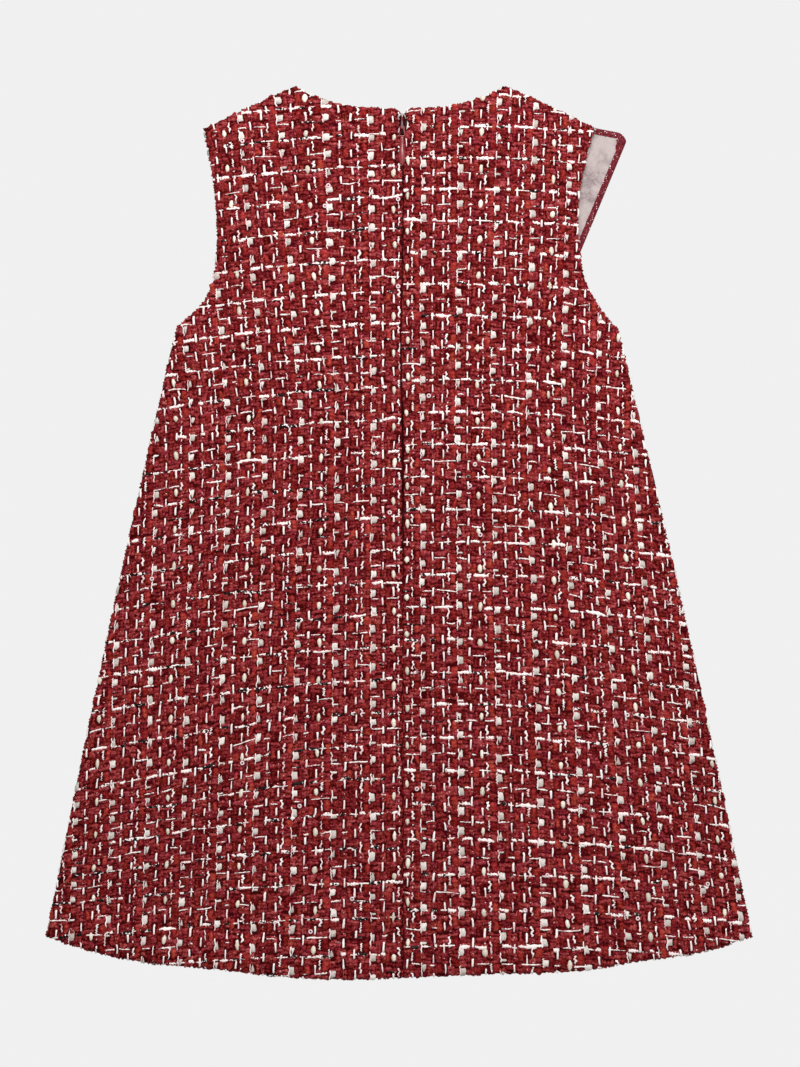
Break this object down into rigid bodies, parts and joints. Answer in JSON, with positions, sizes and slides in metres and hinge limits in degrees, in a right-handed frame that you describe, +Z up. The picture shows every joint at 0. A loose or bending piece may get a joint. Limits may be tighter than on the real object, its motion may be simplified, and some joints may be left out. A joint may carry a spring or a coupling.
{
  "type": "tweed a-line dress",
  "caption": "Sleeveless A-line dress of boucle tweed for a child, laid flat with its back up: concealed zip with a pull tab, and a shoulder flounce that shows past one armhole.",
  "frame": {"origin": "middle of the laid dress, on the surface that it rests on", "axes": "+Y from the hem to the neck, +X to the wearer's right, +Z up out of the dress's back"},
  "size_m": [0.4938, 0.6255, 0.0126],
  "materials": {
    "boucle_tweed": "loosely woven red boucle yarns with ivory ribbon and slub accents",
    "interlining": "pale pinkish grey non-woven, matt",
    "zip_tape": "dark burgundy woven tape",
    "pull_paint": "dull red enamel"
  },
  "bodies": {
    "dress": {"front_panel": "boucle_tweed", "back_left_panel": "boucle_tweed", "back_right_panel": "boucle_tweed", "flounce_face": "boucle_tweed", "flounce_lining": "interlining", "zip_tape_left": "zip_tape", "zip_tape_right": "zip_tape", "zip_slider": "pull_paint"},
    "pull_tab": {"zip_pull": "pull_paint"}
  },
  "joints": [
    {"name": "pull_swing", "type": "hinge", "parent": "dress", "child": "pull_tab", "pos_m": [0.0014, 0.2838, 0.0083], "axis": [-1, 0, 0], "range_deg": [0, 150]}
  ]
}
